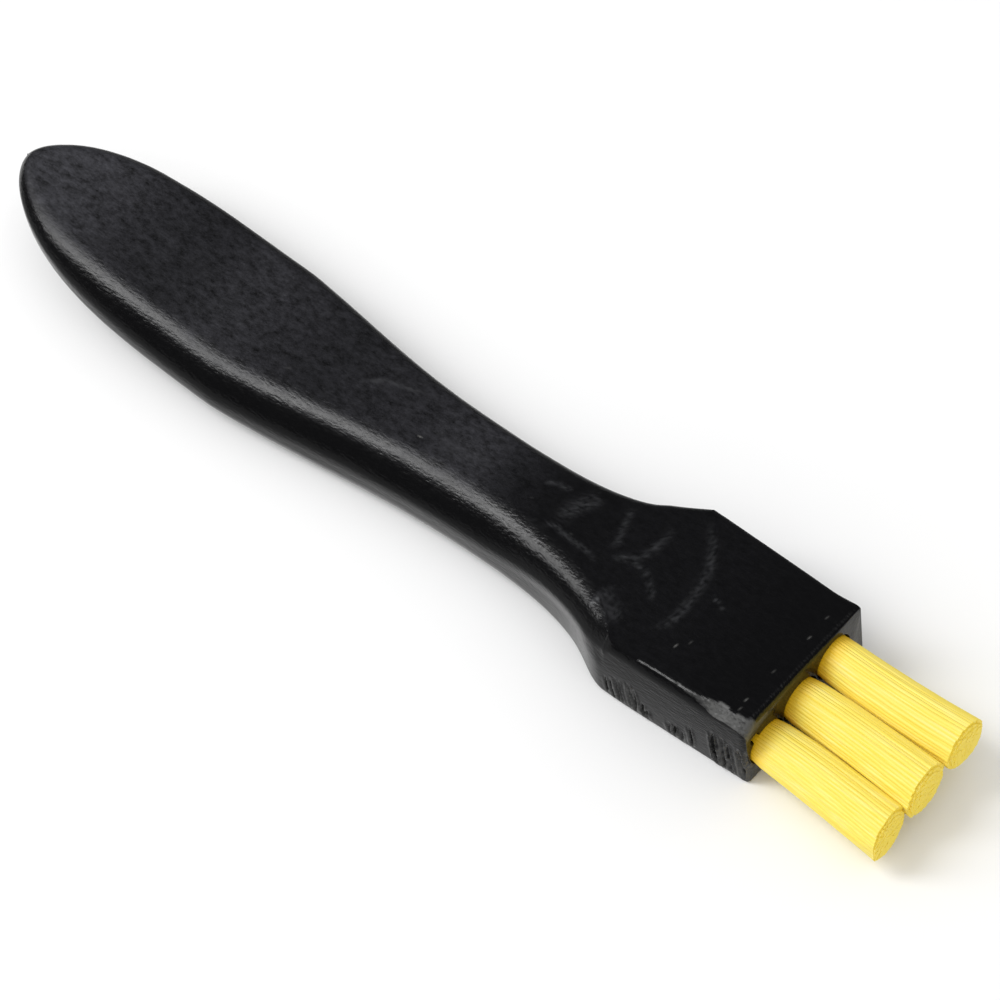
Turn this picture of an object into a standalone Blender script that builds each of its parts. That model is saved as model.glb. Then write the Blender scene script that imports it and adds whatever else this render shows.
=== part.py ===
"""Anti-static brush: grip and head moulded in one piece of conductive plastic, and three tufts of
nylon filament, each folded over a flat metal anchor in its own blind hole in the head's end face.

Metres, +Z up. The brush lies on the flat underside of its head and neck. +X runs from the end of
the grip to the cut ends of the filaments, -Y is the near side, and the origin is under the middle
of the brush, on the surface that it lies on."""

import math

import bmesh
import bpy
from mathutils import Matrix, Vector

MM = 0.001

# Tufts and their holes: a row of three across the head's end face
TUFTS = ("near", "middle", "far")
HOLE_DIAMETER = 6.0 * MM
HOLE_DEPTH = 9.0 * MM
HOLE_WALL = 0.45 * MM  # plastic left between two holes
ROW_TILT = math.radians(10.7)  # the far hole sits higher than the near one
ROW_OFFSET = -0.6 * MM  # the row sits this far to the near side of the middle

# Head: the block that holds the tufts, described by the plastic round its holes
HEAD_LENGTH = 22.5 * MM
SIDE_WALL = 0.8 * MM  # outside the hole that is nearest to a side, at the end face
FLOOR_WALL = 1.9 * MM  # below the lowest hole
ROOF_WALL = 1.5 * MM  # above the highest hole
HEAD_DRAFT = 1.4 * MM  # the head is this much wider at its rear than at its end face
HEAD_CORNER = 0.4 * MM  # rounding of its long edges
FRONT_EDGE = 0.3 * MM  # rounding round its end face

# Grip seen from above: a round end, a wide paddle, a narrow neck and a flare into the head
HANDLE_LENGTH = 130.0 * MM
PADDLE_AT = 41.9 * MM  # widest place, from the end of the grip
PADDLE_WIDTH = 21.8 * MM
ROUND_END_REACH = 3.4  # exponents of the round end: a higher reach fills its shoulders
ROUND_END_NOSE = 1.67  # a higher nose makes its very end blunter
NECK_TO_HEAD = 22.4 * MM  # from the narrowest place to the rear of the head
NECK_WIDTH = 14.5 * MM
TAPER_SKEW = 0.72  # under 1 draws the grip in early, just behind the paddle
FLARE_POWER = 3.5  # how late the flare opens
END_SWEEP = 1.1 * MM  # the end of the grip sits this far to the far side
SWEEP_LENGTH = 62.0 * MM

# Grip seen from the side: the top dips in the middle, and the underside lifts towards the end
END_TOP = 11.9 * MM
SHOULDER_AT = 20.0 * MM
SHOULDER_TOP = 10.95 * MM
DIP_AT = 46.0 * MM
DIP_TOP = 9.35 * MM
NECK_TOP_TO_HEAD = 27.5 * MM
NECK_TOP = 10.05 * MM
END_UNDERSIDE = 8.85 * MM
SHOULDER_UNDERSIDE = 3.5 * MM
PADDLE_UNDERSIDE = 1.0 * MM
FLAT_FROM = 60.0 * MM  # the underside is flat from here to the end face
NOSE_LENGTH = 2.6 * MM  # the last of the grip, where top and underside round together
NOSE_FLAT = 0.3  # share of the thickness that is left at the very end

# Rounding of the grip's long edges
END_CORNER = 1.6 * MM
GRIP_CORNER = 3.7 * MM

# Filaments
FREE_LENGTH = 20.0 * MM  # out of the end face
FILAMENT = 0.30 * MM  # across its corners
FILAMENT_GAP = 0.05 * MM
TUFT_SPLAY = 0.5 * MM  # a tuft's radius grows by this much to its cut end
TRIM_SCATTER = 0.45 * MM  # the longest filament sticks out this far past the shortest
PLUG_RECESS = 0.6 * MM  # the folded bundle ends this far inside the hole's mouth
STRAND_ROOT = 0.6 * MM  # each filament is drawn on into the bundle by this much
LEANS = {  # how far a tuft's cut end leans, along the row and across it
    "near": (-0.95 * MM, 0.6 * MM),
    "middle": (-0.75 * MM, 0.5 * MM),
    "far": (-0.25 * MM, 0.4 * MM),
}

# Anchors: flat wire, set across the row so that neighbours' ends stay apart
ANCHOR_THICKNESS = 0.5 * MM
ANCHOR_DEPTH = 2.0 * MM
ANCHOR_BITE = 0.35 * MM  # each end reaches this far into the wall of its hole
FOLD = 2.0 * MM  # filament between the anchor and the bottom of the hole

CLEARANCE = 0.3 * MM  # between pieces that touch on the real brush
CUT_PAST = 1.0 * MM  # a cutter runs this far past the face that it opens

CORNER_STEPS = 5
NOSE_RINGS = 7
GRIP_RINGS = 40
EDGE_STEPS = 3
ROUND_SIDES = 24
STRAND_SIDES = 4
SHARP_ANGLE = math.radians(35)
SPIRAL_TURN = math.pi * (3 - math.sqrt(5))
SPIRAL_NEAREST = 1.546  # least distance between two points of the spiral, over its unit

hole_radius = HOLE_DIAMETER / 2
hole_pitch = HOLE_DIAMETER + HOLE_WALL
row_reach = hole_pitch * (len(TUFTS) - 1) / 2
row_width = 2 * (row_reach * math.cos(ROW_TILT) + hole_radius)
row_drop = row_reach * math.sin(ROW_TILT) + hole_radius
row_height = FLOOR_WALL + row_drop
head_front_width = row_width + 2 * (SIDE_WALL + abs(ROW_OFFSET))
head_rear_width = head_front_width + HEAD_DRAFT
head_thickness = FLOOR_WALL + 2 * row_drop + ROOF_WALL
head_rear = HANDLE_LENGTH - HEAD_LENGTH
neck_at = head_rear - NECK_TO_HEAD
overall_length = HANDLE_LENGTH + FREE_LENGTH

top_line = (
    (0.0, END_TOP),
    (SHOULDER_AT, SHOULDER_TOP),
    (DIP_AT, DIP_TOP),
    (head_rear - NECK_TOP_TO_HEAD, NECK_TOP),
    (head_rear, head_thickness),
)
under_line = (
    (0.0, END_UNDERSIDE),
    (SHOULDER_AT, SHOULDER_UNDERSIDE),
    (PADDLE_AT, PADDLE_UNDERSIDE),
    (FLAT_FROM, 0.0),
)
corner_line = (
    (0.0, END_CORNER),
    (DIP_AT, GRIP_CORNER),
    (neck_at, GRIP_CORNER),
    (head_rear, HEAD_CORNER),
)


def smooth_through(stations, place):
    """Height at a place of the smooth curve through (place, height) stations, with no overshoot."""
    slopes = [(b[1] - a[1]) / (b[0] - a[0]) for a, b in zip(stations, stations[1:])]
    tangents = [slopes[0]]
    for before, after in zip(slopes, slopes[1:]):
        rising_alike = before * after > 0
        tangents.append(2 * before * after / (before + after) if rising_alike else 0.0)
    tangents.append(slopes[-1])
    last = len(slopes) - 1
    for i, ((start, low), (end, high)) in enumerate(zip(stations, stations[1:])):
        if place <= end or i == last:
            span = end - start
            u = min(max((place - start) / span, 0.0), 1.0)
            return (
                (1 + 2 * u) * (1 - u) ** 2 * low
                + u * (1 - u) ** 2 * span * tangents[i]
                + u * u * (3 - 2 * u) * high
                - u * u * (1 - u) * span * tangents[i + 1]
            )


def grip_half_width(place):
    paddle, neck = PADDLE_WIDTH / 2, NECK_WIDTH / 2
    if place < PADDLE_AT:
        left = 1 - place / PADDLE_AT
        return paddle * (1 - left**ROUND_END_REACH) ** (1 / ROUND_END_NOSE)
    if place < neck_at:
        along = ((place - PADDLE_AT) / (neck_at - PADDLE_AT)) ** TAPER_SKEW
        return paddle + (neck - paddle) * along * along * (3 - 2 * along)
    along = (place - neck_at) / NECK_TO_HEAD
    return neck + (head_rear_width / 2 - neck) * along**FLARE_POWER


def add_ring(bm, place, sideways, half_width, low, high, corner):
    """A ring of vertices round a rounded rectangle that stands square to X."""
    middle, half_height = (low + high) / 2, (high - low) / 2
    corner = min(corner, half_width, half_height)
    ring = []
    for quarter, (side, level) in enumerate(((1, 1), (-1, 1), (-1, -1), (1, -1))):
        y = sideways + side * (half_width - corner)
        z = middle + level * (half_height - corner)
        for step in range(CORNER_STEPS + 1):
            angle = math.pi / 2 * (quarter + step / CORNER_STEPS)
            point = (
                place - overall_length / 2,
                y + corner * math.cos(angle),
                z + corner * math.sin(angle),
            )
            ring.append(bm.verts.new(point))
    return ring


def grip_ring(bm, place, station):
    """The grip's ring at a place, with the section of a station."""
    low = smooth_through(under_line, station)
    high = smooth_through(top_line, station)
    into_nose = min(station / NOSE_LENGTH, 1.0)
    kept = NOSE_FLAT + (1 - NOSE_FLAT) * math.sqrt(1 - (1 - into_nose) ** 2)
    middle, half_height = (low + high) / 2, (high - low) / 2 * kept
    sideways = END_SWEEP * max(1 - station / SWEEP_LENGTH, 0.0) ** 2
    corner = smooth_through(corner_line, station)
    half_width = grip_half_width(station)
    return add_ring(
        bm, place, sideways, half_width, middle - half_height, middle + half_height, corner
    )


def handle_mesh():
    """Grip and head as one loft of rounded rectangles, from the end of the grip to the end face."""
    bm = bmesh.new()
    rings = []
    for i in range(1, NOSE_RINGS + 1):
        station = NOSE_LENGTH * (i / NOSE_RINGS) ** 2
        rings.append(grip_ring(bm, 0.0 if i == 1 else station, station))
    for i in range(1, GRIP_RINGS + 1):
        station = NOSE_LENGTH + (head_rear - NOSE_LENGTH) * i / GRIP_RINGS
        rings.append(grip_ring(bm, station, station))
    for step in range(EDGE_STEPS + 1):
        angle = math.pi / 2 * step / EDGE_STEPS
        place = HANDLE_LENGTH - FRONT_EDGE * (1 - math.sin(angle))
        inset = FRONT_EDGE * (1 - math.cos(angle))
        half_width = head_front_width / 2 - inset
        high = head_thickness - inset
        rings.append(add_ring(bm, place, 0.0, half_width, inset, high, HEAD_CORNER))
    for ring, after in zip(rings, rings[1:]):
        for i, vert in enumerate(ring):
            j = (i + 1) % len(ring)
            bm.faces.new((vert, ring[j], after[j], after[i]))
    bm.faces.new(reversed(rings[0]))
    bm.faces.new(rings[-1])
    bmesh.ops.recalc_face_normals(bm, faces=bm.faces)
    return finished_mesh(bm, "handle")


def finished_mesh(bm, name):
    mesh = bpy.data.meshes.new(name)
    bm.to_mesh(mesh)
    bm.free()
    mesh.shade_smooth()
    mesh.set_sharp_from_angle(angle=SHARP_ANGLE)
    return mesh


def rod_mesh(name, radius, inner_end, outer_end):
    """A cylinder along X, from its inner to its outer end, both measured from the end face."""
    bm = bmesh.new()
    place = Matrix.Translation(((inner_end + outer_end) / 2, 0, 0))
    bmesh.ops.create_cone(
        bm,
        cap_ends=True,
        segments=ROUND_SIDES,
        radius1=radius,
        radius2=radius,
        depth=outer_end - inner_end,
        matrix=place @ Matrix.Rotation(math.pi / 2, 4, "Y"),
    )
    return finished_mesh(bm, name)


def block_mesh(name, low, high):
    bm = bmesh.new()
    size = Vector(high) - Vector(low)
    place = Matrix.Translation((Vector(low) + Vector(high)) / 2)
    bmesh.ops.create_cube(bm, size=1.0, matrix=place @ Matrix.Diagonal((*size, 1.0)))
    return finished_mesh(bm, name)


def anchor_box(name, clearance):
    """The anchor's block, or with a clearance the slot that it sits in. Its long side crosses the row."""
    inner = -HOLE_DEPTH + FOLD
    low = (inner, -ANCHOR_THICKNESS / 2, -hole_radius - ANCHOR_BITE)
    high = (inner + ANCHOR_DEPTH, ANCHOR_THICKNESS / 2, hole_radius + ANCHOR_BITE)
    room = Vector((clearance, clearance, clearance))
    return block_mesh(name, Vector(low) - room, Vector(high) + room)


def strands_mesh(name, lean):
    """Filaments that start inside the folded bundle and spread evenly to the cut end, none crossing."""
    bm = bmesh.new()
    root_reach = hole_radius - CLEARANCE - FILAMENT / 2 - FILAMENT_GAP
    unit = (FILAMENT + FILAMENT_GAP) / SPIRAL_NEAREST
    count = int((root_reach / unit) ** 2)
    spread = 1 + TUFT_SPLAY / root_reach
    for i in range(count):
        turn = i * SPIRAL_TURN
        out = unit * math.sqrt(i + 0.5)
        root = Vector((-PLUG_RECESS - STRAND_ROOT, out * math.cos(turn), out * math.sin(turn)))
        tip = Vector((FREE_LENGTH, lean[0] + spread * root.y, lean[1] + spread * root.z))
        trim = TRIM_SCATTER * (i * math.sqrt(2) % 1.0)
        along = (tip - root).normalized()
        end = tip - along * trim
        place = Matrix.Translation((root + end) / 2)
        turned = along.to_track_quat("Z", "Y").to_matrix().to_4x4()
        bmesh.ops.create_cone(
            bm,
            cap_ends=True,
            segments=STRAND_SIDES,
            radius1=FILAMENT / 2,
            radius2=FILAMENT / 2,
            depth=(end - root).length,
            matrix=place @ turned,
        )
    print(name, count, "filaments")
    return finished_mesh(bm, name)


def finish(name, colour, roughness, metallic=0.0):
    material = bpy.data.materials.new(name)
    material.use_nodes = True
    shader = material.node_tree.nodes["Principled BSDF"]
    shader.inputs["Base Color"].default_value = (*colour, 1.0)
    shader.inputs["Roughness"].default_value = roughness
    shader.inputs["Metallic"].default_value = metallic
    material.diffuse_color = (*colour, 1.0)
    return material


def add_object(mesh, collection, parent=None, along_row=0.0, material=None):
    obj = bpy.data.objects.new(mesh.name, mesh)
    collection.objects.link(obj)
    obj.parent = parent
    obj.location = (0.0, along_row, 0.0)
    if material:
        mesh.materials.append(material)
    else:
        obj.hide_render = True
        obj.display_type = "WIRE"
    return obj


def add_boolean(obj, operation, other):
    modifier = obj.modifiers.new(other.name, "BOOLEAN")
    modifier.operation = operation
    modifier.solver = "EXACT"
    modifier.object = other


def build():
    for old in list(bpy.data.objects):
        bpy.data.objects.remove(old, do_unlink=True)
    brush = bpy.data.collections.new("anti_static_brush")
    cutters = bpy.data.collections.new("cutters")
    cutters.hide_render = True
    for collection in (brush, cutters):
        bpy.context.scene.collection.children.link(collection)

    black_plastic = finish("black_conductive_plastic", (0.018, 0.017, 0.019), 0.38)
    yellow_nylon = finish("yellow_nylon", (0.92, 0.76, 0.09), 0.35)
    anchor_metal = finish("anchor_metal", (0.72, 0.70, 0.64), 0.3, metallic=1.0)

    # The middle of the row of holes, on the end face, turned by the row's tilt
    row = bpy.data.objects.new("row_of_holes", None)
    brush.objects.link(row)
    row.location = (HANDLE_LENGTH - overall_length / 2, ROW_OFFSET, row_height)
    row.rotation_euler.x = ROW_TILT

    handle = add_object(handle_mesh(), brush, material=black_plastic)
    for i, name in enumerate(TUFTS):
        along_row = i * hole_pitch - row_reach
        hole = rod_mesh(f"{name}_hole", hole_radius, -HOLE_DEPTH, CUT_PAST)
        add_boolean(handle, "DIFFERENCE", add_object(hole, cutters, row, along_row))
        slot = add_object(anchor_box(f"{name}_slot", CLEARANCE), cutters, row, along_row)
        add_boolean(handle, "DIFFERENCE", slot)

        plug_radius, plug_start = hole_radius - CLEARANCE, CLEARANCE - HOLE_DEPTH
        plug = rod_mesh(f"tuft_{name}", plug_radius, plug_start, -PLUG_RECESS)
        tuft = add_object(plug, brush, row, along_row, yellow_nylon)
        strands = strands_mesh(f"{name}_filaments", LEANS[name])
        add_boolean(tuft, "UNION", add_object(strands, cutters, row, along_row))
        add_boolean(tuft, "DIFFERENCE", slot)

        add_object(anchor_box(f"anchor_{name}", 0.0), brush, row, along_row, anchor_metal)


build()
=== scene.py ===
# %% [markdown]
# A small hand brush for dusting parts that static can harm. The grip, neck and head are one
# moulding of black plastic filled with carbon, and three tufts of yellow nylon filament stand in
# blind holes in the head's end face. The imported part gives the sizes, and these cells give the looks.

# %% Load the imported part
import math
import random

import bmesh
import bpy
import numpy as np
from mathutils import Euler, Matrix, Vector, noise


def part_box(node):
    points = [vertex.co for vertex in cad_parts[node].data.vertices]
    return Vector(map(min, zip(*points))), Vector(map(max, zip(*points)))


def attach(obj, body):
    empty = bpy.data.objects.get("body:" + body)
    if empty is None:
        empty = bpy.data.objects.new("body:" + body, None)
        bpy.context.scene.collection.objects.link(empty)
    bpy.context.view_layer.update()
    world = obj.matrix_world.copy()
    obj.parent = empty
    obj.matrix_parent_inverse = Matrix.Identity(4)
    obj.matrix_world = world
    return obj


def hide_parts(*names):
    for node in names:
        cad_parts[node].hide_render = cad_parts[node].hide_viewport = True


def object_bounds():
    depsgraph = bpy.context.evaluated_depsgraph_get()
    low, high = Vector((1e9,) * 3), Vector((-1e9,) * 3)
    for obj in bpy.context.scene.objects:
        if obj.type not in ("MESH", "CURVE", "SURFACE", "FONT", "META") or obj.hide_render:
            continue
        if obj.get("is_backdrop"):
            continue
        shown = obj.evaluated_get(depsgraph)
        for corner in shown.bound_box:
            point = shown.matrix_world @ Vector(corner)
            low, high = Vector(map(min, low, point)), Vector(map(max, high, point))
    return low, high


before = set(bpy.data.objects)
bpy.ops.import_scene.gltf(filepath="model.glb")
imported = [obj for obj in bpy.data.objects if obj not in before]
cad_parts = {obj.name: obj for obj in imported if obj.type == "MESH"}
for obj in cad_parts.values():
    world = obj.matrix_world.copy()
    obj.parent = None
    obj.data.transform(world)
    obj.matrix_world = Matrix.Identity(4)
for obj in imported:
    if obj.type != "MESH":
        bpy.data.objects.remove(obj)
cad_low, cad_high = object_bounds()
handle_low, handle_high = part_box("handle")
mm = 0.001
handle_length = handle_high.x - handle_low.x
free_length = cad_high.x - handle_high.x
head_thickness = handle_high.z
print("handle", round(handle_length / mm, 1), "mm, free filament", round(free_length / mm, 1), "mm")


# %% [markdown]
# The camera comes first. It looks down on the near side of the brush from beyond the tufts' end,
# about 55 degrees above the table, through a long lens that keeps the grip and the head almost
# the same scale.

# %% Camera
CAMERA_PLACE = (0.22069, -0.18581, 0.40578)
CAMERA_TURN = (34.812, 5.556, 41.004)
LENS = 144.0
SENSOR = 36.0

camera_data = bpy.data.cameras.new("camera")
camera_data.lens = LENS
camera_data.sensor_width = SENSOR
camera = bpy.data.objects.new("camera", camera_data)
camera.location = CAMERA_PLACE
camera.rotation_euler = Euler([math.radians(a) for a in CAMERA_TURN])
bpy.context.scene.collection.objects.link(camera)
bpy.context.scene.camera = camera


# %% [markdown]
# Operators act on all that is selected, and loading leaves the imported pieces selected. Three small
# helpers keep each step on its own object: one clears the selection, one opens a piece for
# editing, and one selects elements by a test on their place.

# %% Selection helpers
def clear_selection():
    if bpy.context.mode != "OBJECT":
        bpy.ops.object.mode_set(mode="OBJECT")
    bpy.ops.object.select_all(action="DESELECT")


def edit(obj, elements="VERT"):
    """Opens a piece in edit mode with nothing selected and gives its live mesh."""
    clear_selection()
    obj.select_set(True)
    bpy.context.view_layer.objects.active = obj
    bpy.ops.object.mode_set(mode="EDIT")
    bpy.ops.mesh.select_mode(type=elements)
    bpy.ops.mesh.select_all(action="DESELECT")
    return bmesh.from_edit_mesh(obj.data)


def select_where(elements, test):
    for element in elements:
        element.select_set(test(element))


def apply_modifiers(obj):
    clear_selection()
    obj.select_set(True)
    bpy.context.view_layer.objects.active = obj
    for modifier in list(obj.modifiers):
        bpy.ops.object.modifier_apply(modifier=modifier.name)


# %% [markdown]
# The moulding starts as the outline of a plain blank's end, four edges as wide and as high as the
# head. That ring is extruded along the handle again and again, which leaves an open bar. The rings
# stand close together on the head, where scrapes and flow marks need fine faces, and at the round
# end, where the outline turns quickly.

# %% Where the rings stand
ROUND_END = 7.0 * mm
ROUND_END_RINGS = 34
GRIP_STEP = 0.5 * mm
NECK_FROM = 76.0 * mm
NECK_STEP = 0.4 * mm
HEAD_LENGTH = 22.5 * mm
HEAD_STEP = 0.12 * mm
EDGE_STEPS = 6
FRONT_EDGE = 0.9 * mm

head_rear = handle_length - HEAD_LENGTH


def even_places(start, end, step):
    count = max(1, round((end - start) / step))
    return [start + (end - start) * i / count for i in range(count)]


ring_places = [ROUND_END * ((i + 0.6) / ROUND_END_RINGS) ** 2 for i in range(ROUND_END_RINGS)]
ring_places += even_places(ROUND_END, NECK_FROM, GRIP_STEP)
ring_places += even_places(NECK_FROM, head_rear, NECK_STEP)
ring_places += even_places(head_rear, handle_length - FRONT_EDGE, HEAD_STEP)
for step in range(EDGE_STEPS + 1):
    turn = math.pi / 2 * step / EDGE_STEPS
    ring_places.append(handle_length - FRONT_EDGE * (1 - math.sin(turn)))
print(len(ring_places), "rings")

# %% [markdown]
# A bar could also be lofted from drawn sections. Extruding one ring again and again is closer to
# how it is done by hand, and every ring then has the same four points to draw to the outline.

# %% Draw the bar out, ring by ring
BLANK_WIDTH = 24.0 * mm

clear_selection()
bpy.ops.mesh.primitive_plane_add(
    size=1.0, location=(handle_low.x, 0, head_thickness / 2), rotation=(0, math.pi / 2, 0)
)
handle = bpy.context.object
handle.name = handle.data.name = "moulded_handle"
bpy.ops.object.transform_apply(location=True, rotation=True, scale=True)
edit(handle)
bpy.ops.mesh.select_all(action="SELECT")
middle_of_end = (handle_low.x, 0, head_thickness / 2)
bpy.ops.transform.resize(value=(1, BLANK_WIDTH, head_thickness), center_override=middle_of_end)
bpy.ops.mesh.delete(type="ONLY_FACE")
bpy.ops.mesh.select_all(action="SELECT")
for before, place in zip([0.0, *ring_places], ring_places):
    bpy.ops.transform.translate(value=(place - before, 0, 0))
    if place < ring_places[-1]:
        bpy.ops.mesh.extrude_edges_move()

# %% [markdown]
# The outline that the rings are drawn to has four stretches: a round end, a wide paddle, a taper
# to the neck, and a flare that opens late and meets the head at a corner. On the near side the top
# edge opens more gently than the foot below it, and its corner stands a little further forward
# than the far one. Two short tables take up what such simple curves miss, less than a millimetre.
# From the side, the top dips in the middle and the underside lifts towards the end of the grip.

# %% Outline and side view of the moulding
PADDLE_AT = 41.9 * mm
PADDLE_WIDTH = 21.8 * mm
ROUND_END_REACH = 3.4
ROUND_END_NOSE = 1.67
NECK_AT = 85.1 * mm
NECK_WIDTH = 14.5 * mm
TAPER_SKEW = 0.72
FLARE_POWER = 3.5
NEAR_FLARE_POWER = 1.9
NEAR_FLARE_LATE = 1.7 * mm
FOOT_FLARE_EARLY = 1.0 * mm
FOOT_CORNER = 1.3 * mm
HEAD_REAR_WIDTH = 22.88 * mm
HEAD_FRONT_WIDTH = 21.48 * mm
END_SWEEP = 1.1 * mm
SWEEP_LENGTH = 62.0 * mm
TOP_LINE = [(0, 11.9), (20, 10.95), (46, 9.35), (80, 10.05), (107.5, 11.8), (130, 11.8)]
UNDER_LINE = [(0, 8.85), (20, 3.5), (41.9, 1.0), (60, 0.0), (130, 0.0)]
NEAR_FULLER = [
    (0, 0), (12, 0.12), (22, 0), (36, -0.1), (52, -0.1), (64, -0.15), (100, -0.08), (112, 0), (130, 0),
]
FAR_FULLER = [
    (0, 0.35), (7, 0.46), (13, 0.36), (20, -0.03), (28, -0.26), (36, -0.33), (48, -0.44), (60, -0.65),
    (68, -0.74), (80, -0.58), (90, -0.55), (98, -0.36), (101, -0.22), (103, 0.1), (109, 0.06), (122, 0.04),
    (126, 0.0), (130, 0.4),
]


def smooth_through(stations, place):
    """Height at a place of the smooth curve through stations given in millimetres."""
    at = place / mm
    slopes = [(b[1] - a[1]) / (b[0] - a[0]) for a, b in zip(stations, stations[1:])]
    tangents = [slopes[0]]
    for before, after in zip(slopes, slopes[1:]):
        alike = before * after > 0
        tangents.append(2 * before * after / (before + after) if alike else 0.0)
    tangents.append(slopes[-1])
    for i, ((start, low), (end, high)) in enumerate(zip(stations, stations[1:])):
        if at <= end or i == len(slopes) - 1:
            span = end - start
            u = min(max((at - start) / span, 0.0), 1.0)
            left, right = u * (1 - u) ** 2 * span, u * u * (1 - u) * span
            return mm * (
                (1 + 2 * u) * (1 - u) ** 2 * low
                + left * tangents[i]
                + u * u * (3 - 2 * u) * high
                - right * tangents[i + 1]
            )


def half_width(place, side, at_foot=False):
    """Half width of the outline at a place, on the near side (-1) or the far side (1)."""
    paddle, neck = PADDLE_WIDTH / 2, NECK_WIDTH / 2
    if place < PADDLE_AT:
        left = 1 - place / PADDLE_AT
        return paddle * (1 - left**ROUND_END_REACH) ** (1 / ROUND_END_NOSE)
    if place < NECK_AT:
        along = ((place - PADDLE_AT) / (NECK_AT - PADDLE_AT)) ** TAPER_SKEW
        return paddle + (neck - paddle) * along * along * (3 - 2 * along)
    flare_end, power = head_rear, FLARE_POWER
    if at_foot:
        flare_end = head_rear - FOOT_FLARE_EARLY
    elif side < 0:
        flare_end, power = head_rear + NEAR_FLARE_LATE, NEAR_FLARE_POWER
    head_share = max(0.0, (place - head_rear) / HEAD_LENGTH)
    head = (HEAD_REAR_WIDTH + (HEAD_FRONT_WIDTH - HEAD_REAR_WIDTH) * head_share) / 2
    along = (place - NECK_AT) / (flare_end - NECK_AT)
    flare = neck + (HEAD_REAR_WIDTH / 2 - neck) * along**power
    if not at_foot:
        return min(flare, head)
    mix = min(max(0.5 + 0.5 * (head - flare) / FOOT_CORNER, 0.0), 1.0)
    return head * (1 - mix) + flare * mix - FOOT_CORNER * mix * (1 - mix)


def sweep(place):
    return END_SWEEP * max(1 - place / SWEEP_LENGTH, 0.0) ** 2


def front_inset(place):
    """How far the rounding round the end face draws the top of a ring in."""
    into = max(0.0, place - (handle_length - FRONT_EDGE)) / FRONT_EDGE
    return FRONT_EDGE * (1 - math.sqrt(max(0.0, 1 - into * into)))


def ring_lines(place):
    """Near side, far side, underside and top of the ring at a place, and its near side at the foot."""
    inset = front_inset(place)
    near_fuller, far_fuller = smooth_through(NEAR_FULLER, place), smooth_through(FAR_FULLER, place)
    low = smooth_through(UNDER_LINE, place) + 0.2 * inset
    high = smooth_through(TOP_LINE, place) - inset
    near = sweep(place) - half_width(place, -1) - near_fuller + 0.35 * inset
    foot = sweep(place) - half_width(place, -1, at_foot=True) - near_fuller + 0.35 * inset
    far = sweep(place) + half_width(place, 1) + far_fuller - 0.1 * inset
    return near, far, low, min(high, head_thickness), foot


# %% [markdown]
# Each ring is then drawn to the outline by its four corners. The edges that run round the bar,
# whose two points share one place along it, are marked with the side they lie on, so that the next
# cuts can find them.

# %% Draw the rings to the outline
NEAR, FAR, UNDER, TOP = 1, 2, 3, 4
SAME_PLACE = 0.001 * mm

bm = edit(handle)
side_mark = bm.edges.layers.int.new("side")
for edge in bm.edges:
    a, b = (vert.co for vert in edge.verts)
    if abs(a.x - b.x) < SAME_PLACE:
        if abs(a.y - b.y) > abs(a.z - b.z):
            edge[side_mark] = TOP if a.z > head_thickness / 2 else UNDER
        else:
            edge[side_mark] = NEAR if a.y < 0 else FAR
by_place = sorted(bm.verts, key=lambda vert: vert.co.x)
rings = [by_place[i : i + 4] for i in range(0, len(by_place), 4)]
for ring, place in zip(rings, ring_places):
    near, far, low, high, _ = ring_lines(place)
    moves = {(1, 0): near, (1, 1): far, (2, 0): low, (2, 1): high}
    for (axis, upper), target in moves.items():
        middle = sum(vert.co[axis] for vert in ring) / 4
        bpy.ops.mesh.select_all(action="DESELECT")
        moved = [vert for vert in ring if (vert.co[axis] > middle) == bool(upper)]
        for vert in moved:
            vert.select_set(True)
        value = [0.0, 0.0, 0.0]
        value[axis] = target - moved[0].co[axis]
        bpy.ops.transform.translate(value=value)

# %% [markdown]
# Four points to a ring give four flat sides. Subdividing the marked edges of a side cuts it into
# strips along its length, which the next steps bend. The top gets the most, for the marks on it.

# %% Cut each side along its length
CUTS = {TOP: 62, UNDER: 30, NEAR: 40, FAR: 28}

for side, count in CUTS.items():
    bm = edit(handle, "EDGE")
    side_mark = bm.edges.layers.int["side"]
    select_where(bm.edges, lambda edge: edge[side_mark] == side)
    bpy.ops.mesh.subdivide(number_cuts=count - 1)
clear_selection()
print(len(handle.data.vertices), "points on the moulding")

# %% [markdown]
# The bar still has sharp long edges. A bevel would give all of them one width, and here the
# rounding runs from wide on the grip to a mere broken edge on the head. So the points next to each
# edge are moved onto an arc that changes along the handle. The arc turns from a first angle, at
# the flat, to a last one, at the wall. On the head it leaves out its first part on the near side,
# which gives a crisp edge over a leaning wall, and its last part on the far side.

# %% Arcs of the long edges
ARC_CUTS = 8
NEAR_ARC = {
    "radius": [(0, 2.4), (22, 4.5), (46, 5.0), (86, 5.4), (101, 4.4), (109, 3.2), (130, 3.1)],
    "first": [
        (0, 0), (101, 0), (106, 14), (108.5, 34), (110.5, 52), (113, 53), (117, 50), (124, 50), (130, 56),
    ],
    "last": [(0, 90), (130, 90)],
}
FAR_ARC = {
    "radius": [(0, 2.2), (14, 2.5), (28, 2.2), (46, 2.1), (86, 2.1), (100, 1.8), (108, 1.5), (130, 1.5)],
    "first": [(0, 0), (130, 0)],
    "last": [(0, 90), (96, 90), (108, 43), (130, 40)],
}
UNDER_ARC = {
    "radius": [(0, 1.4), (22, 2.4), (46, 3.3), (86, 3.5), (100, 2.2), (107, 0.9), (112, 0.4), (130, 0.35)],
    "first": [(0, 0), (130, 0)],
    "last": [(0, 90), (130, 90)],
}
ROUND = [(0, 1.0), (90, 1.0)]
NEAR_SWELL = [(0, 1.0), (37, 1.0), (43, 1.5), (55, 1.5), (61, 0.5), (76, 0.5), (82, 1.0), (90, 1.0)]
MOST_OF_HEIGHT = {1: 0.6, -1: 0.39}
FOOT_BLEND = 6.0 * mm


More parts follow.
